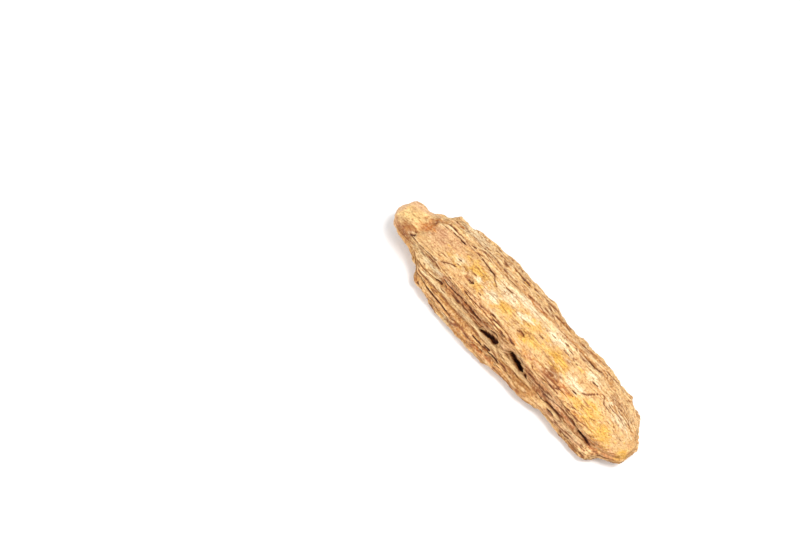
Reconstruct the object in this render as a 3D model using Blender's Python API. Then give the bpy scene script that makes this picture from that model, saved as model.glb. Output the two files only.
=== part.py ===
# Petrified wood: one long slab split from a fossil trunk, lying on its broken back face.
# +X runs along the grain to the broad broken end, -X to the small rounded end.
# -Y is the near flank, a ledge with a hollow band over it, +Y is the sloping far side.
# The origin is the middle of the resting face. Lengths are in millimetres up to the last step.

import bmesh
import bpy
import numpy as np
from mathutils import Vector, noise

LENGTH = 201.5
WIDTH = 53.0
THICKNESS = 32.0

# Distance between sections along the grain, in the middle and close to the broken ends.
SECTION_STEP = 1.9
END_STEP = 0.9
END_ZONE = 14.0
# The dense surface is thinned to this many triangles, which keeps them where the stone is rough.
TRIANGLES = 9400

# Relief: growth ridges, broad lumps, steps of the split layers, broken back face, broken ends.
RIDGE_HEIGHT = 1.5
LUMP_HEIGHT = 1.4
LAYER_PITCH = 4.6
LAYER_STEP = 1.2
BACK_RELIEF = 2.4
END_RELIEF = 1.3
# Half length and half width of the flat patch in the middle of the resting face, and the
# height under which the back face counts as resting.
PATCH_X = 13.0
PATCH_Y = 8.0
RESTING = 0.2

# Lines that the section follows, each as (x, y, z) points along the slab.
NEAR_FOOT = [
    (-104.5, -2, 10), (-103.5, -4.5, 9), (-101, -7, 8), (-96, -8, 7), (-89, -8.5, 6), (-83, -9, 5),
    (-79, -11.5, 5), (-71, -14.5, 4), (-67.5, -19, 3), (-60, -21, 2.5), (-52, -24, 2.5), (-33, -24.3, 2.5),
    (-24, -25.8, 2.5), (-9, -24.8, 2.5), (6, -24.5, 2.5), (14, -23, 2.5), (29, -24.3, 2.5), (36, -22.2, 2.5),
    (46, -20.6, 3), (61, -21.5, 3), (78.5, -22.6, 3), (82, -20, 4), (84, -15.5, 5.5), (89, -14.5, 6.5),
    (93, -12, 7.5), (95.5, -9.5, 8),
]
LEDGE_LIP = [
    (-104.5, -2.5, 12), (-101, -7.8, 11), (-90, -9, 12), (-78, -11.5, 12), (-71, -15.5, 10), (-67, -20, 9.5),
    (-50, -22.5, 10), (-31, -22.8, 10), (0, -23.3, 10), (28, -23, 9.5), (40, -21.5, 9), (68, -21.5, 8.5),
    (80, -21.5, 8), (83, -19.5, 8), (85, -15.3, 8.5), (89, -14.5, 8.5), (93, -12, 9), (95.5, -9.7, 9.2),
]
LEDGE_ROOT = [
    (-104.5, -2, 14), (-101, -7.5, 14), (-85, -9.5, 16), (-76, -11.5, 15), (-67, -15.5, 13.5), (-54, -16.2, 13),
    (-30, -16.4, 13), (0, -16.6, 13), (29, -17.2, 12.5), (49, -17.4, 12), (68, -18, 11.5), (80, -17.5, 11),
    (84, -15.5, 10.5), (89, -14, 10.5), (93, -11.8, 10), (95.5, -9.5, 10),
]
HOLLOW = [
    (-104.5, -1.5, 15), (-101, -7, 16), (-85, -9.2, 17.5), (-76, -10, 18), (-62, -11, 18), (-40, -11.5, 18.5),
    (-12, -11.5, 19), (-1, -12, 19), (1.5, -14.5, 19), (7, -14.5, 19), (10, -12.5, 19), (25, -13.5, 18.5),
    (50, -15, 17.5), (70, -15, 15.5), (80, -15, 14), (86, -14, 12.5), (92, -12, 11), (95.5, -9, 10.8),
]
NEAR_CREST = [
    (-104.5, -1, 16), (-101, -5.5, 18), (-95, -7.8, 20), (-88, -9.3, 21.5), (-83, -9.9, 22), (-73, -10.7, 24),
    (-57, -11.8, 26.5), (-41, -13.6, 27.8), (-25, -14.8, 28.3), (-10, -15.7, 28.5), (16, -16.3, 28.5),
    (33, -15.9, 28), (51, -17, 27), (67, -18.2, 25), (79, -18, 21.5), (84, -15.5, 18.5), (89, -13, 16),
    (93, -10, 14.2), (95.5, -7, 12.5),
]
CROWN = [
    (-104.5, 2, 16.5), (-101, 2, 19.5), (-95, 2, 21.3), (-88, 1.5, 22.3), (-81, 1, 22.6), (-76, 0, 26),
    (-57, 0, 28.8), (-40, -2, 30), (-20, -3, 30.6), (20, -3, 30.8), (40, -3, 30.3), (60, -4, 29),
    (76, -5, 26.5), (86, -4, 22.5), (92, -3, 18.5), (95.5, -2.5, 14.5),
]
FAR_CREST = [
    (-104.5, 5, 15.5), (-101, 8, 17.5), (-95, 9.2, 19.5), (-86, 9.6, 21), (-82, 9.8, 24), (-72, 11, 27.8),
    (-52, 11.3, 29.5), (-27, 10, 30.2), (2, 9.5, 30.5), (31, 9, 30.2), (51, 8.5, 29), (68, 7.5, 27),
    (81, 6, 24), (89, 4.5, 20.5), (93, 3.5, 17.5), (95.5, 2, 14),
]
FAR_EDGE = [
    (-104.5, 6.5, 13), (-103.5, 8.5, 13), (-101, 10.8, 13.5), (-97, 11.8, 14), (-87, 12, 16), (-84, 14.2, 17),
    (-79, 15.6, 18), (-76.5, 21, 18.5), (-64, 21.6, 20), (-58, 23.8, 20), (-40, 25, 20), (-34, 26.3, 20),
    (-24, 26, 20), (-17, 24.6, 20), (2, 24.3, 20), (9, 22.4, 20), (20, 21.4, 20), (27, 22, 20), (46, 20.6, 20), (59, 19.8, 19),
    (75, 19.4, 17), (78, 16, 16), (84, 13.8, 15), (88, 11.2, 14.5), (92, 8, 13), (95.5, 5, 11.5),
]
FAR_FOOT = [
    (-104.5, 4.5, 10), (-101, 8.5, 7), (-90, 10, 5), (-83, 12.5, 4), (-76, 17, 3), (-62, 19, 2.5),
    (-34, 22, 2.5), (0, 21, 2.5), (30, 18.5, 2.5), (60, 16.5, 2.5), (76, 15, 3), (86, 10.5, 5),
    (92, 6.5, 6), (95.5, 4, 8),
]
# Columns of faces on each stretch of the section, from the near foot round to it again.
EDGES = [NEAR_FOOT, LEDGE_LIP, LEDGE_ROOT, HOLLOW, NEAR_CREST, CROWN, FAR_CREST, FAR_EDGE, FAR_FOOT]
COLUMNS = [10, 9, 10, 12, 18, 16, 18, 18, 26]
# Strength of the growth ridges, then of the layer steps, at each of those lines.
RIDGE_SHARE = [0.9, 0.8, 0.6, 0.6, 0.6, 0.4, 0.8, 1.1, 0.9]
LAYER_SHARE = [0.8, 0.7, 0.3, 0.5, 0.3, 0.15, 0.5, 1.0, 0.8]

# Slots in the near flank: middle x, half length, middle z, half height, depth, slope.
FLANK_SLOTS = [
    (-5, 9, 14.6, 2.2, 10.0, 0.10),
    (17, 9, 14.8, 2.5, 10.0, -0.15),
    (73, 8, 13.6, 1.5, 5.0, -0.10),
    (-4, 10, 8.3, 1.2, 2.6, 0.0),
    (-50, 4, 14.5, 1.4, 2.0, 0.0),
]
# Pits in the top: middle x, half length, middle y, half width, depth, slope.
TOP_PITS = [
    (-35, 4.5, -6, 1.7, 2.0, 0.0),
    (8.6, 3.4, -7, 2.0, 2.0, 0.0),
    (38, 5.0, -10, 2.2, 1.4, 0.1),
    (-83, 3.0, -7.5, 2.0, 2.4, 0.0),
    (-79.5, 3.0, 6.5, 2.6, 2.2, 0.6),
]
# Split lines in the top, where one thin layer ends over the next: points, depth, step.
TOP_SPLITS = [
    ([(-71, 7.5), (-55, 8.5), (-43, 9), (-29, 6.8), (-23, 3)], 1.0, 0.7),
    ([(-84, -8.5), (-63, -9.5), (-57, -8.5), (-53, -6.5), (-47, -5)], 0.9, 0.6),
    ([(57, -5.5), (63, 0), (67, 2), (76, 1)], 0.8, 0.5),
    ([(38, 12.5), (50, 11.5), (58, 12.5), (66, 15)], 1.0, 0.6),
    ([(-34, 16), (-20, 19), (-6, 20)], 1.0, 0.5),
]
# The same on the flank, placed by height.
FLANK_SPLITS = [
    ([(-48, 17.5), (-30, 17), (-12, 17.5)], 1.0, 0.0),
    ([(46, 20), (58, 18.5), (68, 16.5)], 1.6, 0.0),
    ([(-68, 9.5), (-45, 8.5), (-30, 7)], 1.3, -0.5),
    ([(44, 12), (58, 12.5)], 1.0, 0.0),
    ([(58, 6), (80, 6.5)], 1.0, 0.0),
]


def line_at(points, x):
    """y and z of a line at x, with its corners rounded a little."""
    xs, ys, zs = np.array(points, float).T
    near = x + np.array([-1.0, 0.0, 1.0])
    return np.interp(near, xs, ys).mean(), np.interp(near, xs, zs).mean()


def section_xs():
    """Positions of the sections, closer together at the two broken ends."""
    first, last = NEAR_FOOT[0][0], NEAR_FOOT[-1][0]
    x, found = first, []
    while x < last - 0.5 * END_STEP:
        found.append(x)
        to_end = min(x - first, last - x)
        x += END_STEP if to_end < END_ZONE else SECTION_STEP
    return found + [last]


def section(x):
    """Closed outline of the slab at x, with the ridge and layer strength of each point."""
    corners = [np.array(line_at(edge, x)) for edge in EDGES]
    shares = np.column_stack([RIDGE_SHARE, LAYER_SHARE])
    outline, strength = [], []
    for i, count in enumerate(COLUMNS):
        k = (i + 1) % len(EDGES)
        for t in np.arange(count) / count:
            outline.append((1 - t) * corners[i] + t * corners[k])
            strength.append((1 - t) * shares[i] + t * shares[k])
    outline = np.array(outline)
    for _ in range(4):
        outline = 0.5 * outline + 0.25 * (np.roll(outline, 1, 0) + np.roll(outline, -1, 0))
    return outline, strength


def wave(x, y, z, along, across, shift=0.0):
    """Noise from -1 to 1 that is long along the grain and short across it."""
    return noise.noise(Vector((x / along + shift, y / across, z / across - shift)))


def relief(x, y, z, ridges, layers):
    """Height of the stone over its plain outline: growth ridges, lumps and split layers."""
    swing = 3.0 * wave(x, y, z, 45.0, 16.0, 5.3)
    wide = abs(wave(x, y + 0.4 * swing, z, 34.0, 5.2, 1.7))
    thin = abs(wave(x, y, z + 0.3 * swing, 17.0, 2.8, 9.1))
    height = RIDGE_HEIGHT * ridges * (1.5 * wide ** 0.7 + 0.9 * thin ** 0.8 - 0.8)
    height += LUMP_HEIGHT * (0.6 * wave(x, y, z, 20.0, 11.0, 3.9) + 0.35 * wave(x, y, z, 7.0, 6.0, 6.6))
    turn = (0.95 * z + 0.3 * y + swing) / LAYER_PITCH
    height += LAYER_STEP * layers * (1.8 * (turn - np.floor(turn)) - 0.9)
    return height


def dip(x, across, hole):
    """Depth of one slot or pit at a point, with a steep rim and a rounded floor."""
    middle, half_long, place, half_wide, depth, slope = hole
    along = (x - middle) / half_long
    off = (across - place - slope * (x - middle)) / half_wide
    reach = along * along + off * off
    return depth * max(0.0, 1.0 - reach ** 1.5)


def split(x, across, line):
    """Height change at a split line: a narrow groove, and a step that fades away from it."""
    points, depth, step = line
    xs, places = np.array(points, float).T
    if not xs[0] < x < xs[-1]:
        return 0.0
    off = across - np.interp(x, xs, places)
    ends = min(1.0, (x - xs[0]) / 6.0, (xs[-1] - x) / 6.0)
    groove = depth * np.exp(-(off / 0.8) ** 2)
    raised = step * np.clip(off / 0.8, 0.0, 1.0) * np.exp(-(off / 5.0) ** 2)
    return ends * (raised - groove)


def back_face(x, y):
    """Height of the broken back face over the ground, zero where the slab rests."""
    if abs(x) < PATCH_X and abs(y) < PATCH_Y:
        return 0.0
    rough = wave(x, y, 0.0, 16.0, 7.0, 2.2) + 0.4 * wave(x, y, 0.0, 7.0, 3.5, 8.8)
    return max(0.0, BACK_RELIEF * rough + 0.1)


def carve(x, outline, strength):
    """Points of one section of the finished stone."""
    centre = outline.mean(0)
    crest = sum(COLUMNS[:4])
    back = sum(COLUMNS[:8])
    lift = outline[:, 1].min()
    points = []
    for i, (y, z) in enumerate(outline):
        out = np.array([y, z]) - centre
        radius = np.hypot(*out)
        share = min(1.0, radius / 9.0)
        height = relief(x, y, z, *strength[i]) * share
        if i <= crest:
            height -= sum(dip(x, z, slot) for slot in FLANK_SLOTS)
            height += sum(split(x, z, line) for line in FLANK_SPLITS)
        elif i < back:
            height -= sum(dip(x, y, pit) for pit in TOP_PITS)
            height += sum(split(x, y, line) for line in TOP_SPLITS)
        y, z = centre + out * max(0.25, 1.0 + height / radius)
        if i > back:
            z = max(lift - 2.5, 0.0) + back_face(x, y)
        points.append((x + 0.9 * wave(x, y, z, 9.0, 6.0, 4.1) * share, y, max(z, 0.0)))
    return points


def cap(points, outward):
    """Rings that close a broken end, each smaller and further out than the one before."""
    ring = np.array(points)
    middle = ring.mean(0)
    rings = []
    for size, reach in ((0.94, 0.35), (0.82, 0.6), (0.66, 0.8), (0.48, 0.9), (0.3, 0.9), (0.12, 0.9)):
        moved = middle + (ring - middle) * size
        for point in moved:
            rough = wave(outward, point[1], point[2], 1.0, 4.5, 7.7)
            point[0] += outward * (reach + END_RELIEF * (1.0 - size) ** 0.5 * rough)
        rings.append([tuple(p) for p in moved])
    return rings


def build_rings():
    """All rings of points from the small end to the broad end."""
    rings = [carve(x, *section(x)) for x in section_xs()]
    start = list(reversed(cap(rings[0], -1.0)))
    return start + rings + cap(rings[-1], 1.0)


def thin_out(stone, share):
    """Keep this share of the triangles."""
    modifier = stone.modifiers.new("Thin out", "DECIMATE")
    modifier.ratio = share
    graph = bpy.context.evaluated_depsgraph_get()
    thinned = bpy.data.meshes.new_from_object(stone.evaluated_get(graph))
    stone.modifiers.clear()
    stone.data = thinned


def fit_to_size(mesh):
    """Scale to length, width and thickness in metres, and press the resting face flat on z = 0."""
    flat = np.empty(3 * len(mesh.vertices), np.float32)
    mesh.vertices.foreach_get("co", flat)
    points = flat.reshape(-1, 3).astype(float)
    low, high = points.min(0), points.max(0)
    middle = 0.5 * (low + high)
    middle[2] = low[2]
    points = (points - middle) * np.array([LENGTH, WIDTH, THICKNESS]) / (high - low)
    points[points[:, 2] < RESTING, 2] = 0.0
    mesh.vertices.foreach_set("co", (points * 0.001).ravel())
    mesh.update()


def make_stone(name):
    """The closed mesh: rings bridged by quads, both ends filled, flat stretches thinned out."""
    rings = np.round(build_rings(), 2)
    bm = bmesh.new()
    loops = [[bm.verts.new(p) for p in ring] for ring in rings]
    count = len(loops[0])
    for a, b in zip(loops, loops[1:]):
        for i in range(count):
            k = (i + 1) % count
            bm.faces.new((a[i], a[k], b[k], b[i]))
    bm.faces.new(loops[0])
    bm.faces.new(list(reversed(loops[-1])))
    bmesh.ops.triangulate(bm, faces=bm.faces[:], quad_method="BEAUTY", ngon_method="BEAUTY")
    bmesh.ops.recalc_face_normals(bm, faces=bm.faces[:])
    dense = len(bm.faces)
    mesh = bpy.data.meshes.new(name)
    bm.to_mesh(mesh)
    bm.free()
    mesh.shade_smooth()
    stone = bpy.data.objects.new(name, mesh)
    bpy.context.scene.collection.objects.link(stone)
    thin_out(stone, TRIANGLES / dense)
    fit_to_size(stone.data)
    return stone


def silicified_wood():
    """Ochre silicified wood, dull like a broken stone."""
    material = bpy.data.materials.new("silicified_wood")
    material.use_nodes = True
    shader = material.node_tree.nodes["Principled BSDF"]
    shader.inputs["Base Color"].default_value = (0.68, 0.42, 0.19, 1.0)
    shader.inputs["Roughness"].default_value = 0.7
    shader.inputs["Metallic"].default_value = 0.0
    return material


for old in list(bpy.data.objects):
    bpy.data.objects.remove(old, do_unlink=True)

slab = make_stone("petrified_wood")
slab.data.materials.append(silicified_wood())
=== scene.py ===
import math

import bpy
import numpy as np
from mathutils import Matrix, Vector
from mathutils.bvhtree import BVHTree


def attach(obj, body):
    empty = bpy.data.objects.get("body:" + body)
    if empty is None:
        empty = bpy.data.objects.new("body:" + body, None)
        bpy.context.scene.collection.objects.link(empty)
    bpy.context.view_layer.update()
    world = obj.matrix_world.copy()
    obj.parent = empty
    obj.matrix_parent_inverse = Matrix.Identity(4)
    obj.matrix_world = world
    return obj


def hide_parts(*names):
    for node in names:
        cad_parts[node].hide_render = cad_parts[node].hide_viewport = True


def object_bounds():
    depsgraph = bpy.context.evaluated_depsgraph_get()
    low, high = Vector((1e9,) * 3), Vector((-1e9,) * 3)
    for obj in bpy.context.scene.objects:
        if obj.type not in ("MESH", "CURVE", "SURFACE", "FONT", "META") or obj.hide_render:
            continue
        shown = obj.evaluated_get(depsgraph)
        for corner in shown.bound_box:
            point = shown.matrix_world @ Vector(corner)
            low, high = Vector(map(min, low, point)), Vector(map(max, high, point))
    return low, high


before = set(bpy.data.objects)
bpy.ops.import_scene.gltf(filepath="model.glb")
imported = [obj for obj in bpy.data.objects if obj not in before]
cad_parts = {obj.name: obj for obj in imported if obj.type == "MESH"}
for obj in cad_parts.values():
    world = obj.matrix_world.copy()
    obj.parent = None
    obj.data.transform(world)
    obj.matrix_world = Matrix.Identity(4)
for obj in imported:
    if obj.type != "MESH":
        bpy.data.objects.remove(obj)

# Petrified wood: one slab of ochre silicified wood, lying on its broken back face.
# +X runs along the grain to the broad broken end, -X ends in the amber knob.
# -Y is the near flank, a ledge with a hollow over it, and +Y is the fibrous far slope.
# The stone is measured from its solid by sight lines out of its middle, drawn finer,
# and then gets the splinters, cracks and pits of split wood. Lengths are in millimetres
# until the mesh is made. Every seed is a fixed number, so the stone is the same each time.

cad_low, cad_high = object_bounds()

# One millimetre in metres.
MM = 0.001
# Rows of points over each rounded end and along the body, and points round each row.
END_ROWS = 20
BODY_ROWS = 210
COLUMNS = 388
# How far inside each end the sight lines start to fan out.
KNOB_REACH = 12.0
BROAD_REACH = 10.0
# Directions measured round the section, and the share of points spared on its underside.
DIRECTIONS = 720
UNDERSIDE_SAVING = 0.62
# Length of each list of random values.
PICKS = 4096
# Thickness of the split layers and of the finer ones inside them.
LAYER = 2.3
FINE_LAYER = 0.95
# Distance between the places through which a crack or slot is followed.
TRACE_STEP = 0.5
# Small holes placed at random, before those on smooth or hidden places are left out.
HOLES = 190


def linear(code):
    """An sRGB hex colour as linear red, green and blue, with full alpha."""
    parts = [int(code[i:i + 2], 16) / 255 for i in (1, 3, 5)]
    return (*(p / 12.92 if p < 0.04045 else ((p + 0.055) / 1.055) ** 2.4 for p in parts), 1.0)


def smooth_step(low, high, value):
    """0 below low, 1 above high, and an even curve between them."""
    t = np.clip((value - low) / (high - low), 0.0, 1.0)
    return t * t * (3.0 - 2.0 * t)


def softened(field, rows, columns):
    """A field on the grid, blurred by so many rows and columns. The columns close round."""
    for axis, width in ((0, rows), (1, columns)):
        reach = int(math.ceil(2.5 * width))
        if reach < 1:
            continue
        weights = np.exp(-0.5 * (np.arange(-reach, reach + 1) / width) ** 2)
        mode = "edge" if axis == 0 else "wrap"
        pad = [(0, 0)] * field.ndim
        pad[axis] = (reach, reach)
        wide = np.pad(field, pad, mode=mode)
        size = field.shape[axis]
        parts = [w * np.take(wide, range(i, i + size), axis) for i, w in enumerate(weights)]
        field = sum(parts) / weights.sum()
    return field


def wood_noise(points, along, across, seed):
    """Noise from about -1 to 1 whose forms are `along` long down the grain and `across` wide."""
    leans = np.random.RandomState(seed).normal(size=(PICKS, 3))
    leans /= np.linalg.norm(leans, axis=1)[:, None]
    place = points / np.array([along, across, across]) + 37.7
    cell = np.floor(place).astype(np.int64)
    inside = place - cell
    ease = inside ** 3 * (inside * (inside * 6.0 - 15.0) + 10.0)
    total = 0.0
    for corner in np.ndindex(2, 2, 2):
        turn = (cell + corner) * (73856093, 19349663, 83492791)
        pick = (turn[..., 0] ^ turn[..., 1] ^ turn[..., 2]) % PICKS
        share = np.where(corner, ease, 1.0 - ease).prod(-1)
        total = total + share * ((inside - corner) * leans[pick]).sum(-1)
    return 1.7 * total


def sight_tree(stone):
    """The stone's solid, ready to be measured."""
    points = [v.co / MM for v in stone.data.vertices]
    return BVHTree.FromPolygons(points, [tuple(p.vertices) for p in stone.data.polygons])


def reach_from(tree, start, direction):
    """Distance from a point inside the stone to its surface."""
    return tree.ray_cast(Vector(start), Vector(direction))[3]


def heart_line(tree, xs):
    """Middle of the section at each x, found from the height and width there."""
    found = []
    for x in xs:
        # A place that is inside the stone at every x.
        y, z = 0.0, 13.0
        for _ in range(3):
            wide = [reach_from(tree, (x, y, z), (0, s, 0)) for s in (-1, 1)]
            y += 0.5 * (wide[1] - wide[0])
            tall = [reach_from(tree, (x, y, z), (0, 0, s)) for s in (-1, 1)]
            z += 0.5 * (tall[1] - tall[0])
        found.append((x, y, z))
    found = np.array(found)
    return np.column_stack([xs, softened(found[:, 1:][:, None], 9.0, 0)[:, 0]])


def even_angles(tree, hearts):
    """Directions round the section: even steps along the surface, wider on the hidden underside."""
    angles = np.linspace(-math.pi, math.pi, DIRECTIONS + 1)[:-1]
    rays = [(0.0, math.cos(a), math.sin(a)) for a in angles]
    picked = hearts[len(hearts) // 5::len(hearts) // 5]
    radii = np.mean([[reach_from(tree, h, r) for r in rays] for h in picked], 0)
    step = np.hypot(radii, np.gradient(radii, angles))
    under = smooth_step(-0.35, -0.75, np.sin(angles))
    share = np.cumsum(step * (1.0 - UNDERSIDE_SAVING * under))
    share = np.concatenate([[0.0], share]) / share[-1]
    return np.interp(np.arange(COLUMNS) / COLUMNS, share, np.append(angles, math.pi))


def survey(stone):
    """Starting points, directions and distances of the sight lines, row by row."""
    tree = sight_tree(stone)
    low, high = cad_low / MM, cad_high / MM
    xs = np.linspace(low.x + KNOB_REACH, high.x - BROAD_REACH, BODY_ROWS)
    hearts = heart_line(tree, xs)
    angles = even_angles(tree, hearts)
    fan = np.linspace(0.0, 0.5 * math.pi, END_ROWS + 2)[1:-1]
    ends = [np.repeat(heart, END_ROWS, 0) for heart in (hearts[:1], hearts[-1:])]
    starts = np.vstack([ends[0], hearts, ends[1]])
    tilts = np.concatenate([-fan[::-1], np.zeros(BODY_ROWS), fan])
    rays = np.stack([
        np.repeat(np.sin(tilts)[:, None], COLUMNS, 1),
        np.cos(tilts)[:, None] * np.cos(angles),
        np.cos(tilts)[:, None] * np.sin(angles),
    ], -1)
    reach = np.array([[reach_from(tree, s, r) for r in row] for s, row in zip(starts, rays)])
    return starts[:, None, :], rays, reach


def outward(points):
    """Directions straight out of the surface, from its neighbours on the grid."""
    along = np.gradient(points, axis=0)
    around = np.roll(points, -1, 1) - np.roll(points, 1, 1)
    out = np.cross(along, around)
    out /= np.linalg.norm(out, axis=-1, keepdims=True) + 1e-9
    middle = points.mean(1, keepdims=True)
    return out * np.sign(((points - middle) * out).sum(-1).sum())


def layer_steps(depth, pitch):
    """Split layers: each rises slowly and ends in a sharp edge. From -0.4 to 0.6."""
    turn = depth / pitch
    return (turn - np.floor(turn)) ** 1.5 - 0.4


def layer_gaps(depth, pitch, width):
    """1 in the narrow gap at the foot of each layer."""
    turn = depth / pitch
    away = np.abs(turn - np.round(turn)) * pitch
    return smooth_step(width, 0.0, away)


def splinters(x, depth, length, width, seed):
    """Fibre bundles that broke off at their own levels, from -1 to 1, with tongue-shaped ends."""
    levels = np.random.RandomState(seed).rand(PICKS)
    lane = np.floor(depth / width).astype(np.int64)
    side = depth / width - lane
    place = x / length + 5.0 * levels[lane % PICKS] + 0.3 * np.sin(math.pi * side)
    bundle = np.floor(place).astype(np.int64)
    return 2.0 * levels[(lane * 7919 + bundle * 3571) % PICKS] - 1.0


def thin_cracks(points, along, across, width, seed):
    """Lines that wander along the grain, 1 in their middle and 0 beside them."""
    field = wood_noise(points, along, across, seed)
    open_there = smooth_step(0.0, 0.4, wood_noise(points, 18.0, 6.0, seed + 50))
    return np.clip(1.0 - np.abs(field) / width, 0.0, 1.0) * open_there


def trace(points, out, line):
    """Places on the surface along a line of (x, y, z) points, and their share of its length."""
    line = np.array(line, float)
    lengths = np.concatenate([[0.0], np.cumsum(np.linalg.norm(np.diff(line, axis=0), axis=1))])
    share = np.linspace(0.0, 1.0, max(3, int(lengths[-1] / TRACE_STEP) + 1))
    gone = share * lengths[-1]
    wanted = np.column_stack([np.interp(gone, lengths, line[:, k]) for k in range(3)])
    waver = [wood_noise(wanted, 3.5, 3.5, seed) for seed in (61, 62)]
    wanted[:, 1:] += 0.35 * np.column_stack(waver)
    close = np.abs(points[..., 0] - wanted[:, 0].mean()) < 0.5 * np.ptp(wanted[:, 0]) + 3.0
    near, straight = points[close], out[close]
    nearest = [((near - w) ** 2).sum(1).argmin() for w in wanted]
    lift = ((near[nearest] - wanted) * straight[nearest]).sum(1)
    return wanted + lift[:, None] * straight[nearest], share


def carved(points, out, line, start_width, end_width):
    """1 in the middle of a crack or slot along the line and 0 at its rim, with uneven width."""
    path, share = trace(points, out, line)
    widest = max(start_width, end_width)
    middle, half = 0.5 * (path.min(0) + path.max(0)), 0.5 * np.ptp(path, 0) + 1.4 * widest
    close = (np.abs(points - middle) < half).all(-1)
    spots = points[close]
    widths = start_width + (end_width - start_width) * share
    widths *= 1.0 + 0.35 * wood_noise(path, 2.2, 2.2, 63)
    widths *= np.clip(6.0 * np.minimum(share, 1.0 - share) + 0.45, 0.0, 1.0)
    best = np.zeros(len(spots))
    ragged = 1.0 + 0.7 * wood_noise(spots, 2.5, 0.9, 65)
    for place, width in zip(path, widths):
        away = ((spots - place) ** 2).sum(1)
        best = np.maximum(best, np.clip(1.0 - ragged * away / width ** 2, 0.0, 1.0))
    found = np.zeros(points.shape[:2])
    found[close] = best
    return found


def run_out(x, line, outside, inside):
    """1 along a line, with an even fall to 0 from so far inside its ends to so far outside."""
    first = smooth_step(line[0, 0] - outside, line[0, 0] + inside, x)
    return first * smooth_step(line[-1, 0] + outside, line[-1, 0] - inside, x)


def scarp(points, line, fade, side, axis):
    """Where the surface steps down past a line along the grain: 1 at the step, 0 further off."""
    line = np.array(line, float)
    x = points[..., 0] + 0.0
    past = side * (points[..., axis] - np.interp(x, line[:, 0], line[:, axis]))
    past += 0.35 * wood_noise(points, 5.0, 2.0, 64)
    other = 3 - axis
    level = np.abs(points[..., other] - np.interp(x, line[:, 0], line[:, other])) < 6.0
    step = smooth_step(-0.1, 0.5, past) * np.exp(-np.maximum(past, 0.0) / fade)
    return level * run_out(x, line, 0.0, 7.0) * step


def spot(points, centre, along, across, seed):
    """A ragged spot of colour on the stone, used for stains and for painted highlight and shade, 1
    in its middle.
    """
    away = (points - np.array(centre, float)) / (along, across, across)
    edge = 0.55 * wood_noise(points, 9.0, 4.0, seed) + 0.55 * wood_noise(points, 3.0, 1.5, seed + 1)
    return smooth_step(1.4, 0.35, np.linalg.norm(away, axis=-1) * (1.0 + edge))


def strip(points, line, half, seed):
    """A ragged strip along the grain, 1 along its line."""
    line = np.array(line, float)
    x = points[..., 0] + 0.0
    away = [points[..., k] - np.interp(x, line[:, 0], line[:, k]) for k in (1, 2)]
    edge = 0.4 * wood_noise(points, 12.0, 4.0, seed) + 0.4 * wood_noise(points, 5.0, 1.3, seed + 1)
    return run_out(x, line, 5.0, 0.0) * smooth_step(1.25, 0.65, np.hypot(*away) / half + edge)


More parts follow.
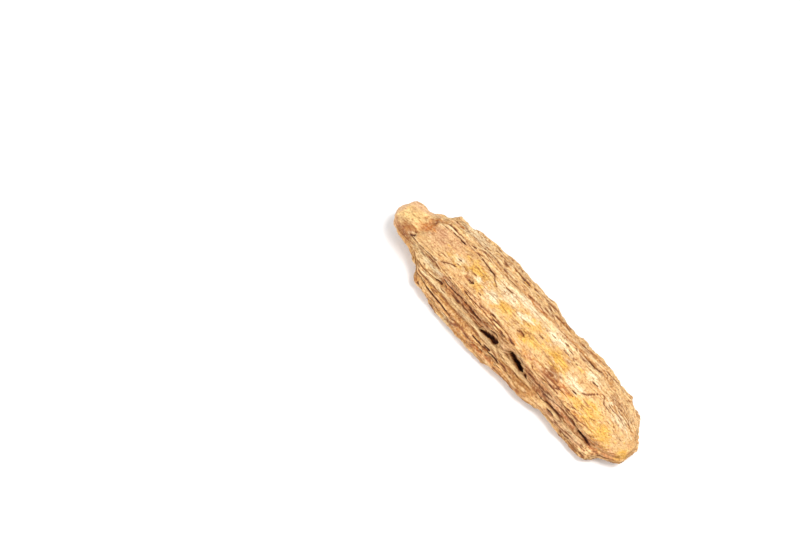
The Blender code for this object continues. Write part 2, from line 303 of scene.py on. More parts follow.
# Slots in the near flank, cracks in the top and far slope, and pits: points of the line,
# half width at its start and at its end, depth.
SLOTS = [
    ([(-10, -16.6, 13.7), (-5, -15.8, 13.5), (-1, -15.3, 14), (3.4, -14.9, 14.6)], 0.35, 1.7, 4.0),
    ([(-7, -15.8, 14.6), (-2, -15, 16), (2, -15, 16.6)], 0.5, 0.9, 2.2),
    ([(13.4, -13.2, 16.2), (16.5, -14, 14.9), (20.4, -14.8, 14),
      (25.4, -15.9, 13.4)], 1.0, 1.3, 4.0),
    ([(17.5, -14.2, 15.4), (22.5, -15, 14.2)], 1.0, 1.0, 2.0),
    ([(15.6, -14.4, 14.4), (19, -14.9, 13.7), (24, -15.5, 13.3)], 0.6, 0.7, 2.2),
    ([(28, -16.3, 13.3), (30.5, -16.5, 13.2)], 0.7, 0.7, 2.0),
    ([(52, -16.1, 22.8), (57, -16.6, 22.4), (61, -16.2, 19.6), (65, -16, 17.2)], 0.5, 0.6, 1.1),
    ([(64, -16, 17.4), (70, -16.1, 16.2)], 0.45, 0.5, 0.8),
    ([(69, -16.1, 15.4), (74, -16.4, 14), (80, -17.2, 13)], 0.8, 0.9, 1.0),
    ([(72, -16.3, 13.2), (77, -17, 12.4), (83, -17.6, 12)], 0.7, 0.6, 0.8),
    ([(68, -16, 16.8), (73, -16.5, 15.2), (79, -17, 14.4)], 0.4, 0.4, 0.5),
    ([(-10, -21.6, 11.2), (-6, -21.7, 11.2), (-3, -21.7, 11.1)], 0.6, 0.7, 1.5),
    ([(-1.2, -20.9, 11.6), (3.8, -20.9, 11.5)], 0.6, 0.6, 1.4),
    ([(-0.6, -22.4, 10.9), (3.2, -22.5, 10.9)], 1.3, 1.1, 2.4),
    ([(4.2, -22.2, 10.8), (8.4, -22.3, 10.7), (11.8, -22.4, 10.5)], 0.8, 0.7, 1.8),
    ([(-58, -22.5, 7), (-52, -23, 6.8)], 0.9, 0.7, 1.4),
    ([(-60, -20, 10.5), (-51, -21, 10.4), (-38, -22, 10.4), (-26, -23.2, 9.6)], 0.7, 0.45, 1.1),
    ([(-46, -12.7, 17.4), (-37, -12.9, 17), (-25, -13.1, 16.9), (-10, -14, 16.5)], 0.3, 0.5, 0.8),
    ([(-48, -14.1, 16), (-37, -14.3, 16), (-20, -14.9, 15.6), (-9, -14.8, 14.4)], 0.35, 0.4, 0.4),
    ([(39.5, -17.9, 12.7), (45.7, -18.2, 12.2), (49, -18.3, 12.3)], 0.35, 0.4, 0.6),
    ([(50, -16.9, 14), (56, -17.5, 13.8), (62, -18.2, 13.4)], 0.5, 0.5, 0.9),
    ([(51, -19.8, 10.6), (56, -19.9, 10.8)], 0.7, 0.4, 0.8),
    ([(64, -22.2, 6.8), (68.5, -21.7, 7.2), (76, -21.9, 6.8)], 0.5, 0.5, 0.9),
    ([(81, -22.4, 6.9), (84.8, -21.9, 5)], 0.5, 0.4, 0.8),
    # The dent under the broad end is darkened as painted shade of its notch.
    ([(87.5, -18.8, 5), (90.5, -17, 6.4), (93.5, -15.4, 7)], 1.1, 0.9, 1.8),
    ([(-50, -14.3, 15), (-45, -14.4, 14.8)], 0.7, 0.6, 0.9),
]
TOP_CRACKS = [
    ([(-79, -10, 22.2), (-69, -11, 23.7), (-59, -11.7, 25.4), (-52, -11.4, 27.3)], 0.5, 0.4, 1.0),
    ([(-74.6, 8, 24.1), (-73.5, 5.8, 25), (-72.6, 3.6, 25.7)], 0.7, 0.6, 0.4),
    ([(-52, -11, 27.3), (-49, -8.5, 27.6), (-46, -7, 28), (-42, -6.2, 28.9)], 0.3, 0.55, 0.6),
    ([(-68, 9.6, 27.8), (-53, 9.2, 29.4), (-45, 8.4, 29), (-38, 8.8, 29.5)], 0.4, 0.4, 0.45),
    ([(-40, 8.6, 29.5), (-32, 7.7, 29.5), (-24, 6.4, 29.9), (-21, 4, 30.3),
      (-17.5, 2.2, 30.5)], 0.4, 0.55, 0.6),
    ([(-61, 7.8, 28), (-55, 7.8, 28.3), (-50, 7.6, 28.4)], 0.35, 0.5, 0.9),
    ([(-72, 6.4, 26.9), (-64, 7, 27.9)], 0.4, 0.4, 0.5),
    ([(62, -6, 29.1), (65, -3.8, 29), (67, -0.5, 28.6)], 0.6, 0.6, 0.5),
    ([(67, 0, 28.5), (67.8, 0.6, 28.4)], 0.6, 0.5, 0.6),
    ([(69, 2.4, 28.2), (72, 2.2, 28)], 0.4, 0.4, 0.35),
    ([(71.2, 2.2, 28.1), (73, 0.4, 27.9), (75, -1.2, 27.7)], 0.5, 0.5, 0.4),
    ([(75, 1.1, 26.6), (80, 1.2, 25.6), (84, 1.4, 24.8)], 0.35, 0.35, 0.5),
    ([(71, 5.5, 27.4), (79, 5.6, 25.8)], 0.35, 0.4, 0.5),
    ([(83, 5, 24), (90, 8, 18.6)], 0.4, 0.35, 0.5),
    ([(80, -2, 26), (88, -2.2, 23.5)], 0.3, 0.3, 0.4),
    ([(86, -5, 22), (94, -5, 18)], 0.3, 0.3, 0.35),
    ([(62.5, -16.1, 26.4), (65, -14.4, 26.5), (68, -13.5, 26.9)], 0.35, 0.3, 0.5),
    ([(-13.5, 5.9, 30.3), (-8, 5.8, 30.8)], 0.4, 0.4, 0.5),
    ([(36, 3.9, 30.1), (41, 3.7, 30.2)], 0.4, 0.4, 0.5),
    ([(27, -10.5, 29.8), (30, -10.5, 29.6)], 0.4, 0.4, 0.6),
    ([(46, 12.5, 26.8), (55, 11.6, 26.5), (60, 12.8, 24.9)], 0.4, 0.7, 1.1),
    ([(59, 16.6, 22.8), (68, 16.9, 21.2)], 0.4, 0.6, 0.9),
    ([(-20, 20, 24.2), (-8, 20.4, 23.1)], 0.5, 0.5, 0.9),
    ([(-29, 18.8, 25.8), (-25, 18.6, 25.8)], 0.4, 0.35, 0.6),
    ([(-6, 21, 22.8), (1, 21, 22.2)], 0.5, 0.4, 0.8),
    ([(5, 14.8, 26.6), (12, 12.4, 28.4)], 0.4, 0.4, 0.6),
    ([(17, 13.3, 27.6), (26, 13.8, 25.7)], 0.4, 0.4, 0.6),
    ([(-24, 14, 28.2), (-20, 13.8, 28.2)], 0.4, 0.4, 0.6),
    ([(-28, -13, 27.6), (-20, -13.2, 27.6), (-12, -13.6, 27)], 0.4, 0.5, 0.8),
    ([(-20.6, -13.7, 29.3), (-12, -13.4, 29.7), (-4, -14.1, 29.2), (1.8, -14.7, 28.9),
      (8.8, -15.4, 28.5)], 0.4, 0.5, 0.5),
    ([(30.8, -15.4, 28.6), (35.5, -16.6, 28.4), (40.5, -16.7, 28.2),
      (45.1, -16.2, 28.3)], 0.45, 0.45, 0.6),
    ([(46, -16, 28.2), (50, -15.7, 28), (54.5, -16.2, 27.5)], 0.5, 0.4, 0.6),
]
PITS = [
    ([(-31.6, -6.3, 28.6), (-27.6, -6, 29.2)], 0.6, 0.8, 0.7),
    ([(-29.8, -7.6, 29), (-28.5, -7, 29)], 0.5, 0.4, 0.5),
    ([(10.6, -7.3, 29.4), (12.7, -6.1, 29), (16, -7.2, 30)], 0.4, 0.6, 0.45),
    ([(-79, -9.4, 22), (-75.5, -8.0, 22.8)], 0.8, 1.1, 1.1),
    ([(-78, -6.6, 22.8), (-77, -6.6, 23)], 0.5, 0.5, 0.6),
    ([(13.2, -14.9, 28.9), (16, -14.4, 28.9)], 0.6, 0.7, 0.9),
    ([(-7, -10.9, 29.2), (-3.8, -11, 29.5)], 0.45, 0.6, 0.6),
    ([(40, -11, 28.4), (44, -10.4, 28)], 0.9, 0.9, 0.4),
]
# Edges of split layers: line, fade, side and axis it drops towards, and drop.
SCARPS = [
    ([(-79, -10, 22.2), (-69, -11, 23.7), (-59, -11.7, 25.4), (-50, -11.4, 27.3)], 4.0, -1, 1, 0.9),
    ([(-72, 9.0, 27), (-53, 9.2, 29.4), (-40, 8.8, 29.4), (-30, 8.6, 29.6)], 4.0, 1, 1, 0.8),
    ([(-34, 10.6, 29.6), (-10, 10.2, 30), (16, 10.2, 29.4), (40, 10.4, 28.4),
      (62, 11, 26.5)], 3.5, 1, 1, 1.0),
    ([(-78, 15, 21), (-50, 16, 24), (-30, 17, 26), (-20, 17, 26)], 3.0, 1, 1, 0.9),
    ([(-22, 19.4, 24.6), (10, 17.5, 25.4), (40, 16.5, 24.6), (75, 15.5, 21)], 3.0, 1, 1, 0.9),
    ([(20, -9.8, 29.8), (40, -11.5, 29), (60, -13, 27)], 3.0, -1, 1, 0.5),
    ([(-36, -11, 28.6), (-16, -10.5, 29.2), (10, -11.5, 29)], 3.0, -1, 1, 0.6),
    ([(-64, -17.4, 12.6), (-30, -18.3, 12.8), (0, -18.8, 12.8),
      (36, -19.6, 12.2)], 3.5, -1, 1, 0.8),
]
# Places where the surface lies lower than the plain solid, or swells where the depth is
# below 0: middle, reach along and across, depth.
PRESSED = [
    ((-93, 11, 16), 9, 6, 0.7), ((-100, 4, 13), 4, 7, 0.9), ((11, 25, 15), 9, 6, 1.7),
    ((99, 6, 14), 4, 5, 1.0), ((-54, 21, 18), 13, 5, 0.8), ((-65, 19, 18), 7, 5, 1.4),
    ((13, -7.6, 29.4), 3.2, 1.8, 0.5), ((48, -16.5, 17), 12, 3.5, -1.2),
    ((78, 19, 17.4), 4, 4, 1.2), ((9.5, -15.2, 19), 4, 4, -0.8),
]
# Painted shade in the two deep pockets of the near flank: middle, half length and half height.
POCKET_SHADE = [((-1.5, -9.5, 14.8), 10, 4.0), ((20.5, -9.5, 14.8), 9.5, 4.0)]
# Stains, with painted highlight in the lip spots and painted shade in one rust spot: middle, half
# length along the grain, half width.
STAINS = {
    "amber": [((-90, -1, 21), 6.5, 4.4), ((-84, 0.4, 22.5), 7, 4.8), ((-79, -5, 23), 4, 3)],
    "rust_and_shade": [
        ((-83.8, -10, 21.4), 4.2, 2.8), ((-80.6, -8, 22.4), 3.8, 3.3),
        ((-73.6, 6.4, 24.8), 2.2, 3.4), ((43.3, -11, 28.2), 5.6, 3.3), ((-33, -6.2, 29), 3, 1.3),
        # The wide spot under the knob, at x -84 and z 17.6, is painted shade on the knob's shadowed
        # lower rim.
        ((13.4, -6.6, 29.4), 2.8, 1.3), ((-84, -9.8, 17.6), 12, 4.5), ((36, -17, 12), 9, 1.6),
        ((-20, -22.6, 9.5), 9, 1.2), ((57, -11, 28), 2.4, 0.7), ((21.7, -14.2, 29.1), 1.2, 0.7),
        ((25.2, -14.9, 29.1), 1.6, 0.8), ((28, -13.2, 29), 1.4, 0.7),
    ],
    "orange": [
        ((-75, 0.8, 24), 5.5, 5.6), ((54, -11.2, 28), 6, 1.8), ((0, -24.4, 7.9), 13, 1.6),
        ((-66, 15, 23), 3, 2), ((-21, -23.6, 7), 4, 1.2), ((8, 12.6, 28), 10, 1.4),
        ((33, 12.4, 28), 14, 1.4),
    ],
    "rose": [((94, -13.6, 12.6), 8, 4), ((88, -16, 15), 7, 3)],
    "gold": [
        ((-43, -3, 29), 7, 3), ((-30, 1, 30), 8, 3.6), ((-24, -6, 30), 5, 3),
        ((-3, -4, 31), 7, 3.8), ((15, 0, 31), 7, 3.4), ((20, -6, 30), 9, 3),
        ((38, -2, 30), 10, 3.4), ((63, -11, 28), 8, 3), ((75, -12, 26.6), 11, 4.4),
        ((84, -13.5, 21.6), 8, 5), ((98, -9, 13), 4, 4), ((84, -9, 23), 6, 2),
        ((-60, 12, 26), 10, 1.8), ((-38, -19, 12.2), 8, 1.0), ((-85, 0, 22), 6, 1.6),
        ((40, -7, 29.5), 8, 1.8), ((-12, 20, 24), 9, 1.4), ((70, -6, 28), 6, 1.8),
    ],
    "chalk": [
        ((-43.4, -2.2, 28.8), 4.4, 2.6), ((-27, -3, 30), 3, 2), ((-14.7, -4.4, 31), 6, 3.4),
        ((-8, 2.4, 31), 9, 3), ((10, 1, 31), 6, 2.2), ((0, 7.2, 31), 18, 2.2),
        ((30, 5.8, 30), 11, 2.4), ((56, -6, 28.5), 8, 3), ((59, 5, 28), 8, 2.2),
        ((-2, -18.8, 12.4), 7, 1.7), ((-28, -24, 6.6), 8, 2.4), ((-26, -24.2, 7.4), 6, 2.2),
        ((22, -16, 22), 5, 2), ((-50, 20.4, 21.6), 16, 2.6), ((86, 0, 24), 9, 3),
        ((-60, -12, 18), 12, 2), ((70, -20.6, 10.4), 9, 1.6), ((-52, 17, 25.2), 12, 1.8),
        ((-22, -17.8, 13), 12, 1.3), ((-48, -17.2, 13), 14, 1.5),
    ],
    "blush": [
        ((-93, 9, 18), 9, 4), ((-99, 0, 15), 4, 8), ((-96, -7, 15), 6, 3.5),
        ((-78, 10.6, 21), 6, 2.4), ((-87, 8.6, 19.4), 8, 2.6), ((-18, -12.4, 28.6), 10, 1.6),
        ((38, -13.6, 28), 14, 1.6), ((62, -21, 9), 20, 2.4), ((50, -15.8, 16.4), 9, 2.6),
        ((9.5, -15.2, 19), 4, 3),
    ],
    "tan": [((-62, 0, 27.5), 11, 7), ((-52, 3, 28.5), 7, 4)],
    # The lip spots are painted highlight on the swell of the bridge and on the tongue, over pale
    # stone.
    "lip_and_highlight": [((9.5, -15.6, 18), 4.5, 5), ((-74.5, 10.2, 24), 5, 2.2)],
}
# Strips along the grain, with painted highlight in the lip strips and painted shade in one umber
# strip: points of the line and half width.
STRIPS = {
    # The lip strips are pale stone with painted highlight along the ledge's lip and the crests.
    "lip_and_highlight": [
        ([(-62, -16, 12.9), (-44, -16.3, 13.5), (-25, -16.6, 14.2), (-8, -17.4, 13.2),
          (34, -18, 13)], 1.5),
        ([(44, -19.8, 11.1), (61, -20.5, 10.2), (84, -20.4, 9.6)], 2.6),
        ([(-30, 8.6, 30), (0, 8.4, 31), (40, 8.4, 29.6), (66, 9, 27)], 0.9),
        ([(-75, -10.7, 18), (-62, -12, 17.6), (-49, -12.6, 18)], 3.6),
    ],
    "rose": [
        ([(-46, -13, 18), (-20, -13.5, 18), (3, -14, 19)], 4.6),
        ([(14, -14.5, 20), (40, -15.8, 19.5), (86, -16.6, 17)], 4.2),
        ([(30, -17, 14.5), (60, -17, 14.5), (86, -18, 12)], 2.6),
    ],
    "ochre": [
        ([(-34, 12.5, 28.5), (0, 12.5, 29), (40, 13, 27), (66, 13, 24)], 1.6),
        ([(-45, 19, 24), (-10, 21, 23)], 1.2),
        ([(-72, 9, 26), (-40, 11, 28)], 1.3),
        ([(10, 19, 24), (50, 18, 23)], 1.2),
        ([(-55, -23.5, 8), (10, -25, 7)], 1.6),
    ],
    "umber_and_shade": [
        ([(-56, -18.8, 12.2), (-30, -19.8, 12), (0, -20.2, 11.9), (34, -21, 11)], 2.0),
        ([(-52, -21.7, 9.4), (-26, -23, 9.8), (0, -23.6, 8.4), (32, -23.8, 8.1)], 1.6),
        ([(64, -15.9, 17.4), (76, -16.4, 15), (84, -17.2, 13.4)], 1.8),
        # The strip under the broad end is painted shade in the end's shadowed notch.
        ([(87, -19, 5.4), (90, -17.1, 6.6), (93.5, -15.2, 7.4)], 2.2),
    ],
}


def zones(points, out):
    """From 0 to 1: the close-grained top, far slope, flanks tinted as iron stain and painted warm
    shade, knob and end faces.
    """
    x, y = points[..., 0], points[..., 1]
    across = y + 1.6 * wood_noise(points, 14.0, 5.0, 2)
    wider = 2.5 * smooth_step(-30.0, -55.0, x) + 4.0 * smooth_step(50.0, 66.0, x)
    near = smooth_step(-12.5, -10.0, across + wider)
    far = smooth_step(11.0, 8.5, across + 9.0 * smooth_step(62.0, 90.0, x))
    topness = near * far * smooth_step(0.2, 0.6, out[..., 2])
    slope = (1.0 - topness) * smooth_step(4.0, 9.0, y)
    iron_and_warm_shade = (1.0 - topness) * (0.2 + 0.8 * smooth_step(-4.0, -12.0, y))
    knob = smooth_step(-74.0, -80.0, x + 3.0 * wood_noise(points, 6.0, 6.0, 3))
    butt = smooth_step(0.3, 0.75, np.abs(softened(out[..., 0], 1.0, 3.0)))
    return topness, slope, iron_and_warm_shade, knob, butt


def split_layers(points, out, lean, swing, patchy, loose, butt):
    """Relief of the split layers and the splinters on them, and the dark of the gaps between."""
    side, up = lean
    x = points[..., 0]
    depth = side * points[..., 1] + up * points[..., 2] + swing
    fine_depth = depth + 0.8 * wood_noise(points, 12.0, 2.5, 14)
    # Little of the layers shows where the surface follows one of them.
    follows = np.abs(side * out[..., 1] + up * out[..., 2]) / math.hypot(side, up)
    shown = 0.3 + 0.7 * smooth_step(0.99, 0.86, follows)
    rise = 0.62 * layer_steps(depth, LAYER) * (0.4 + 0.6 * patchy)
    rise += 0.36 * layer_steps(fine_depth, FINE_LAYER)
    rise += 0.42 * (1.0 - butt) * splinters(x, depth, 15.0, 1.7, 15)
    rise += 0.22 * (1.0 - butt) * splinters(x, depth + 0.6, 7.0, 0.9, 16)
    wide_gaps = 0.75 * loose * (1.0 - 0.5 * butt) * layer_gaps(depth, LAYER, 0.30)
    fine_gaps = 0.42 * (0.3 + 0.7 * loose) * (1.0 - 0.6 * butt)
    fine_gaps = fine_gaps * layer_gaps(fine_depth, FINE_LAYER, 0.22)
    return shown * rise, shown * np.maximum(wide_gaps, fine_gaps)


def carve_stone(points):
    """Finished surface of the stone, with values for its colours at each point."""
    out = outward(softened(points, 1.5, 4.0))
    x, y, z = points[..., 0], points[..., 1], points[..., 2]
    topness, slope, iron_and_warm_shade, knob, butt = zones(points, out)
    stained = stains(points)
    lip_and_highlight, tan = stained["lip_and_highlight"], stained["tan"]
    fibrous = np.clip(1.0 - 0.5 * topness - 0.75 * knob, 0.1, 1.0)
    fibrous *= (1.0 - 0.4 * tan) * (1.0 - 0.35 * lip_and_highlight)
    swing = 3.2 * wood_noise(points, 48.0, 15.0, 11) + 0.9 * wood_noise(points, 15.0, 5.0, 12)
    patchy = smooth_step(-0.35, 0.35, wood_noise(points, 26.0, 8.0, 13))
    loose = smooth_step(-0.2, 0.2, wood_noise(points, 34.0, 4.5, 24)) * (1.0 - knob)
    # The layers lie nearly flat, and stand up towards the broad end of the far slope.
    flat, flat_gaps = split_layers(points, out, (-0.3, 0.95), swing, patchy, loose, butt)
    steep, steep_gaps = split_layers(points, out, (-0.9, 0.4), swing, patchy, loose, butt)
    turned = smooth_step(56.0, 74.0, x) * smooth_step(-10.0, -4.0, y)

    # Layers, long ribs and fine ribs of fibre, swells of two sizes, and small unevenness.
    rise = fibrous * (flat + (steep - flat) * turned)
    ribs = 0.4 - np.abs(wood_noise(points, 24.0, 1.9, 17))
    rise += 0.36 * (0.35 + 0.65 * fibrous) * (1.0 - 0.6 * butt) * ribs
    rise += 0.16 * (0.5 + 0.5 * fibrous) * wood_noise(points, 9.0, 0.9, 18)
    rise += 0.36 * wood_noise(points, 13.0, 7.0, 19)
    rise += 0.20 * fibrous * wood_noise(points, 6.0, 2.6, 20)
    rise += 0.10 * wood_noise(points, 3.0, 1.4, 21)
    # The broad form stays that of the solid.
    rise -= 0.8 * softened(rise, 9.0, 24.0)
    crest = smooth_step(-9.0, -12.0, y) * smooth_step(21.0, 24.0, z) * (1.0 - knob)
    rise += 0.9 * crest * wood_noise(points, 11.0, 3.0, 25)
    rise += 0.7 * lip_and_highlight * smooth_step(18.0, 15.0, z)
    for centre, along, across, deep in PRESSED:
        away = (points - np.array(centre)) / (along, across, across)
        rise -= deep * np.exp(-(away ** 2).sum(-1))

    cracks = np.maximum(
        thin_cracks(points, 34.0, 3.2, 0.085, 22), thin_cracks(points, 22.0, 2.1, 0.11, 23))
    cracks *= (0.15 + 0.85 * fibrous) * (1.0 - knob) * (1.0 - 0.9 * butt)
    rise -= 0.55 * cracks
    for line, fade, side, axis, drop in SCARPS:
        rise -= drop * scarp(points, line, fade, side, axis)

    gaps = fibrous * (flat_gaps + (0.75 * steep_gaps - flat_gaps) * turned)
    gaps = gaps * (1.0 - 0.45 * smooth_step(6.0, 12.0, y))
    dark = np.maximum(0.7 * cracks, gaps)
    holes = scattered_pits(points, out, tan + butt)
    for line, first, last, deep in SLOTS + TOP_CRACKS + PITS + holes:
        cut = carved(points, out, line, first, last)
        rise -= deep * np.sqrt(cut)
        # The deeper it is, the less light comes out.
        shade = np.interp(deep, [0.2, 0.6, 1.2, 2.6], [0.3, 0.6, 0.75, 1.0])
        dark = np.maximum(dark, smooth_step(0.0, 0.9, cut) * shade)
    # Painted shade inside the pockets.
    for centre, along, across in POCKET_SHADE:
        inside = np.linalg.norm((points - np.array(centre)) / (along, across, across), axis=-1)
        inside += 0.3 * wood_noise(points, 5.0, 1.0, 67)
        shade = 0.75 + 0.5 * wood_noise(points, 9.0, 1.2, 66)
        dark = np.maximum(dark, smooth_step(1.05, 0.6, inside) * shade)

    # The stone rests on the broad form of its underside.
    under = smooth_step(-0.2, -0.6, out[..., 2])
    rise *= 1.0 - 0.9 * under * smooth_step(1.5, 0.2, z)
    # Painted shade darkens the low places, and the high ones are painted pale as wear and painted
    # highlight.
    local = rise - softened(rise, 2.2, 4.0)
    dark = np.clip(dark + smooth_step(0.08, 0.5, -local) * 0.4 * (1.0 - 0.5 * butt), 0.0, 1.0)
    values = {
        "dark": dark, "wear_and_highlight": smooth_step(0.05, 0.35, local), "topness": topness, "far": slope,
        "iron_and_warm_shade": iron_and_warm_shade, "butt": butt, "knob": knob, "sway": MM * swing, **stained,
    }
    return points + out * rise[..., None], values


def scattered_pits(points, out, smooth):
    """Small holes along the grain where single fibres dropped out."""
    pick = np.random.RandomState(31)
    lines = []
    for _ in range(HOLES):
        row = pick.randint(END_ROWS, END_ROWS + BODY_ROWS - 6)
        column = pick.randint(0, COLUMNS)
        size = pick.rand()
        length = 0.8 + 3.5 * pick.rand() ** 2
        here = points[row, column]
        if out[row, column, 2] < -0.3 or here[0] < -70 or smooth[row, column] > 0.4:
            continue
        line = [tuple(here), tuple(here + (length, 0, 0))]
        lines.append((line, 0.3 + 0.25 * size, 0.3 + 0.2 * size, 0.25 + 0.5 * size))
    return lines


def stains(points):
    """Where each colour of the stone lies, painted highlight and shade among them, from 0 to 1.
    Each stain takes two seeds.
    """
    found = {}
    seed = 100
    for table, shape in ((STAINS, spot), (STRIPS, strip)):
        for name, places in table.items():
            field = found.get(name, np.zeros(points.shape[:2]))
            for place in places:
                seed += 2
                field = np.maximum(field, shape(points, *place, seed))
            found[name] = field
    return found


def build_stone(name, solid):
    """The slab's finished mesh, in metres, with its stains, wear, painted highlight and painted
    shade as values at each point.
    """
    starts, rays, reach = survey(solid)
    # The solid's facets are smoothed, and the last rows close to an even ring.
    reach = softened(reach, 0.8, 1.3)
    even = reach.mean(1, keepdims=True)
    reach = reach + (even - reach) * smooth_step(0.93, 1.0, np.abs(rays[:, :1, 0]))
    points, values = carve_stone(starts + rays * reach[..., None])
    points = np.clip(points, np.array(cad_low) / MM, np.array(cad_high) / MM)

    # Four-sided faces between the rows, and a point in the middle of each end to close it.
    number = np.arange(points[..., 0].size).reshape(points.shape[:2])
    beside = np.roll(number, -1, 1)
    faces = np.stack([number[:-1], beside[:-1], beside[1:], number[1:]], -1)
    faces = faces.reshape(-1, 4).tolist()
    first, last = [zip(number[k].tolist(), beside[k].tolist()) for k in (0, -1)]
    faces += [(number.size, after, before) for before, after in first]
    faces += [(number.size + 1, before, after) for before, after in last]
    corners = np.concatenate([points.reshape(-1, 3), points[[0, -1]].mean(1)]) * MM
    mesh = bpy.data.meshes.new(name)
    mesh.from_pydata(corners.tolist(), [], faces)
    for label, field in values.items():
        field = np.append(field.ravel(), field[[0, -1]].mean(1)).astype(np.float32)
        mesh.attributes.new(label, "FLOAT", "POINT").data.foreach_set("value", field)
    mesh.validate()
    piece = bpy.data.objects.new(name, mesh)
    bpy.context.scene.collection.objects.link(piece)
    mesh.shade_smooth()
    return piece


def add_node(tree, kind, settings=None, inputs=None):
    """One shader node, with its own settings and with each input set or linked."""
    made = tree.nodes.new(kind)
    for key, value in (settings or {}).items():
        setattr(made, key, value)
    for key, value in (inputs or {}).items():
        if isinstance(value, bpy.types.NodeSocket):
            tree.links.new(value, made.inputs[key])
        else:
            made.inputs[key].default_value = value
    return made


def silicified_wood():
    """Wood turned to quartz and opal, then split and weathered, never polished.

    The eye sees silky fibres along the grain, sugary crumbs, dull breaks and dark gaps.
    """
    material = bpy.data.materials.new("silicified_wood")
    material.use_nodes = True
    tree = material.node_tree
    shader = tree.nodes["Principled BSDF"]

    def value(name):
        """A named value of the mesh."""
        return add_node(tree, "ShaderNodeAttribute", {"attribute_name": name}).outputs["Fac"]

    # The grain sways with the split layers.
    sway = add_node(tree, "ShaderNodeVectorMath", {"operation": "SCALE"}, {
        0: (0.0, -0.3, 0.95), "Scale": value("sway"),
    })
    place = add_node(tree, "ShaderNodeVectorMath", {"operation": "ADD"}, {
        0: add_node(tree, "ShaderNodeTexCoord").outputs["Object"], 1: sway.outputs[0],
    }).outputs[0]

    def grain(scale, along, detail=4.0, rough=0.6, twist=0.0, across=1.0):
        """Noise stretched down the grain: scale in forms per metre across the layers."""
        stretched = add_node(tree, "ShaderNodeMapping", inputs={
            "Vector": place, "Scale": (along, across, 1.0),
        })
        return add_node(tree, "ShaderNodeTexNoise", inputs={
            "Vector": stretched.outputs[0], "Scale": scale,
            "Detail": detail, "Roughness": rough, "Distortion": twist,
        }).outputs["Fac"]

    def band(field, low, high, weak=0.0, strong=1.0):
        """A field between low and high, turned into a share from weak to strong."""
        return add_node(tree, "ShaderNodeMapRange", {"interpolation_type": "SMOOTHSTEP"}, {
            "Value": field, "From Min": low, "From Max": high, "To Min": weak, "To Max": strong,
        }).outputs[0]

    def worked(way, *fields):
        """One step of arithmetic on fields."""
        made = add_node(tree, "ShaderNodeMath", {"operation": way}, dict(enumerate(fields)))
        return made.outputs[0]

    def times(a, b):
        """Two fields multiplied."""
        return worked("MULTIPLY", a, b)

    def blended(share, under, over, way="MIX"):
        """The colour under, with a share of the colour over it."""
        return add_node(tree, "ShaderNodeMix", {"data_type": "RGBA", "blend_type": way}, {
            0: share, 6: under, 7: over,
        }).outputs[2]

    def lines(scale, along, width):
        """Thin lines along the grain, where stretched noise passes its middle value."""
        off = worked("SUBTRACT", grain(scale, along, 2.0, 0.5, 0.2), 0.5)
        return band(worked("ABSOLUTE", off), 0.0, width, 1.0, 0.0)

    # Grain of several sizes. The knob and the broken end show less of the fine one.
    streaks = grain(330.0, 0.05)
    strands = grain(1250.0, 0.12)
    dashes = grain(800.0, 0.3, 3.0, 0.6)
    seams = grain(700.0, 0.12, 3.0, 0.6, 0.0, 0.22)
    sugar = grain(1350.0, 0.7, 2.0, 0.7)
    specks = grain(640.0, 0.5, 1.0, 0.5)
    crumbs = grain(820.0, 0.8, 2.0, 0.6)
    patches = grain(110.0, 0.45)
    flecks = grain(230.0, 0.4)
    busy = times(
        band(value("knob"), 0.0, 1.0, 1.0, 0.8), band(value("butt"), 0.0, 1.0, 1.0, 0.75))
    sparse = times(busy, band(value("topness"), 0.0, 1.0, 1.0, 0.55))
    edges = band(value("butt"), 0.1, 0.7)
    colour = blended(band(streaks, 0.36, 0.64), linear("#C88E4A"), linear("#E1B474"))

    # The stains, painted highlight and painted shade among them, one over the other: name, the
    # field that breaks it up, that field's limits, the share of the stain at each limit, and its
    # colour.
    for name, field, low, high, weak, strong, code in (
        ("topness", patches, 0.35, 0.6, 0.25, 0.8, "#DCB680"),
        ("far", streaks, 0.35, 0.6, 0.9, 0.4, "#EBC389"),
        ("rose", streaks, 0.3, 0.7, 0.95, 0.65, "#D28C56"),
        ("ochre", flecks, 0.35, 0.6, 0.5, 0.9, "#CC9048"),
        ("lip_and_highlight", flecks, 0.35, 0.6, 0.5, 0.9, "#EFCF98"),
        ("tan", flecks, 0.3, 0.65, 0.9, 0.5, "#CA9870"),
        ("gold", flecks, 0.35, 0.6, 0.6, 1.0, "#DEA93C"),
        ("chalk", flecks, 0.4, 0.65, 0.95, 0.5, "#EDDDB8"),
        ("blush", flecks, 0.35, 0.65, 0.95, 0.7, "#E6BA90"),
        ("umber_and_shade", flecks, 0.3, 0.65, 0.85, 0.4, "#AA743A"),
        ("amber", patches, 0.3, 0.65, 0.8, 1.0, "#F4D08C"),
        ("orange", flecks, 0.3, 0.65, 1.0, 0.7, "#C06C18"),
        ("rust_and_shade", flecks, 0.3, 0.6, 0.85, 1.0, "#96500F"),
    ):
        share = times(value(name), band(field, low, high, weak, strong))
        colour = blended(share, colour, linear(code))

    # Thin dark lines between the fibres, in three sizes.
    for scale, along, width, darkest in (
        (300.0, 0.035, 0.022, 0.9), (620.0, 0.06, 0.03, 0.8), (1050.0, 0.12, 0.04, 0.5),
    ):
        here = band(grain(0.6 * scale, 3.0 * along, 2.0), 0.47, 0.54, 0.12 * darkest, darkest)
        share = times(times(lines(scale, along, width), sparse), here)
        colour = blended(share, colour, linear("#8E5A22"))

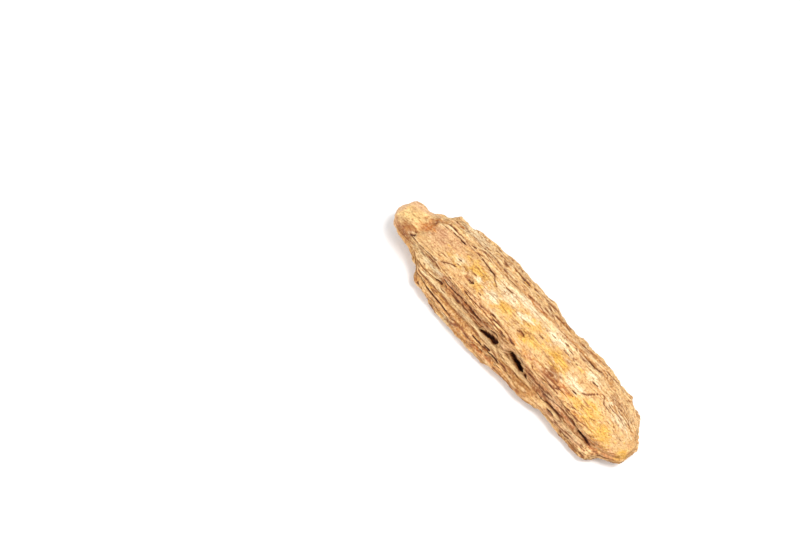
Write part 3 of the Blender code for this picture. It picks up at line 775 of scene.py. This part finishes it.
    # Seams on the end faces, then fibres and quartz grains with a dark and a light side.
    colour = blended(times(band(seams, 0.55, 0.7, 0.0, 0.7), edges), colour, linear("#AC7038"))
    colour = blended(times(band(seams, 0.45, 0.3, 0.0, 0.6), edges), colour, linear("#F2D9AE"))
    for fibre, shade, shine in ((strands, 0.65, 0.5), (dashes, 0.5, 0.35), (sugar, 0.85, 0.65)):
        share = times(band(fibre, 0.52, 0.66, 0.0, shade), busy)
        colour = blended(share, colour, linear("#CCA888"), "MULTIPLY")
        share = times(band(fibre, 0.48, 0.35, 0.0, shine), busy)
        colour = blended(share, colour, linear("#8C784A"), "SCREEN")
    colour = blended(times(band(specks, 0.62, 0.7, 0.0, 0.6), busy), colour, linear("#9A6430"))

    # Crumbs of stone on the split faces, pale edges of wear and painted highlight, and the dark of
    # gaps, with painted shade in slots, pockets and low places.
    split = band(value("topness"), 0.0, 1.0, 1.0, 0.1)
    colour = blended(times(band(crumbs, 0.55, 0.68, 0.0, 0.5), split), colour, linear("#8E5A2C"))
    colour = blended(times(band(crumbs, 0.46, 0.34, 0.0, 0.45), split), colour, linear("#F0CFA0"))
    share = times(value("wear_and_highlight"), band(strands, 0.3, 0.6, 0.6, 0.2))
    colour = blended(share, colour, linear("#F6E0B4"))
    colour = blended(band(value("dark"), 0.0, 0.6, 0.0, 0.85), colour, linear("#763A08"))
    colour = blended(band(value("dark"), 0.6, 1.0), colour, linear("#4A2006"))
    # The split flanks, which lie in shade, are tinted redder than the top, partly as iron stain and
    # partly as painted warm shade.
    colour = blended(value("iron_and_warm_shade"), colour, (1.0, 0.93, 0.8, 1.0), "MULTIPLY")
    tree.links.new(colour, shader.inputs["Base Color"])

    # Broken fibres scatter the light, and the quartz between them keeps a faint gloss.
    rough = band(grain(700.0, 0.15), 0.3, 0.7, 0.62, 0.85)
    tree.links.new(rough, shader.inputs["Roughness"])
    shader.inputs["IOR"].default_value = 1.54
    shader.inputs["Metallic"].default_value = 0.0

    # Single fibres, 0.2 to 0.5 mm apart, and the sugary grain of the quartz.
    relief = {}
    for height, strength, distance in (
        (grain(2600.0, 0.05), 0.5, 0.0002), (grain(1000.0, 0.07, 5.0), 0.6, 0.0005),
        (sugar, 0.5, 0.0004),
    ):
        relief["Normal"] = add_node(tree, "ShaderNodeBump", inputs={
            "Height": height, "Strength": strength, "Distance": distance, **relief,
        }).outputs[0]
    tree.links.new(relief["Normal"], shader.inputs["Normal"])
    return material


def white_floor():
    """A matt white table top, far larger than the stone."""
    half = 6.0
    mesh = bpy.data.meshes.new("studio_floor")
    corners = [(-half, -half, 0), (half, -half, 0), (half, half, 0), (-half, half, 0)]
    mesh.from_pydata(corners, [], [(0, 1, 2, 3)])
    floor = bpy.data.objects.new("studio_floor", mesh)
    bpy.context.scene.collection.objects.link(floor)
    paint = bpy.data.materials.new("white_table")
    paint.use_nodes = True
    shader = paint.node_tree.nodes["Principled BSDF"]
    shader.inputs["Base Color"].default_value = linear("#F4F4F5")
    shader.inputs["Roughness"].default_value = 0.9
    floor.data.materials.append(paint)


def soft_box(name, place, width, power):
    """One square studio light that points at the stone, which lies round the origin."""
    lamp = bpy.data.lights.new(name, "AREA")
    lamp.size = width
    lamp.energy = power
    holder = bpy.data.objects.new(name, lamp)
    holder.location = place
    holder.rotation_euler = (-Vector(place)).to_track_quat("-Z", "Y").to_euler()
    bpy.context.scene.collection.objects.link(holder)


def light_room(strength):
    """Even white light from all round."""
    world = bpy.data.worlds.new("white_room")
    world.use_nodes = True
    background = world.node_tree.nodes["Background"]
    background.inputs["Color"].default_value = linear("#FFFFFF")
    background.inputs["Strength"].default_value = strength
    bpy.context.scene.world = world


def place_camera(azimuth, elevation, aim, distance, lens):
    """Camera that looks down on the slab, at the photograph's angle."""
    a, e = math.radians(azimuth), math.radians(elevation)
    back = Vector((math.sin(a) * math.cos(e), -math.cos(a) * math.cos(e), math.sin(e)))
    right = Vector((math.cos(a), math.sin(a), 0.0))
    up = back.cross(right)
    camera = bpy.data.objects.new("camera", bpy.data.cameras.new("camera"))
    camera.data.lens = lens
    camera.data.sensor_width = 36.0
    turned = Matrix((right, up, back)).transposed().to_4x4()
    camera.matrix_world = Matrix.Translation(Vector(aim) + distance * back) @ turned
    bpy.context.scene.collection.objects.link(camera)
    bpy.context.scene.camera = camera


stone = build_stone("petrified_wood_stone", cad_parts["petrified_wood"])
stone.data.materials.append(silicified_wood())
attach(stone, "root")
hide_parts("petrified_wood")

white_floor()
light_room(strength=0.63)
soft_box("key_light", (0.36, 0.20, 0.90), width=0.4, power=8.8)
soft_box("fill_light", (-0.15, -0.85, 0.5), width=0.7, power=5.0)
# The slab is as large in the picture, and as far right of its middle, as in the photograph.
place_camera(
    azimuth=50.0, elevation=60.0, aim=(-0.0662, -0.0277, 0.0211), distance=1.0767, lens=85.0)
bpy.context.scene.view_settings.view_transform = "Standard"
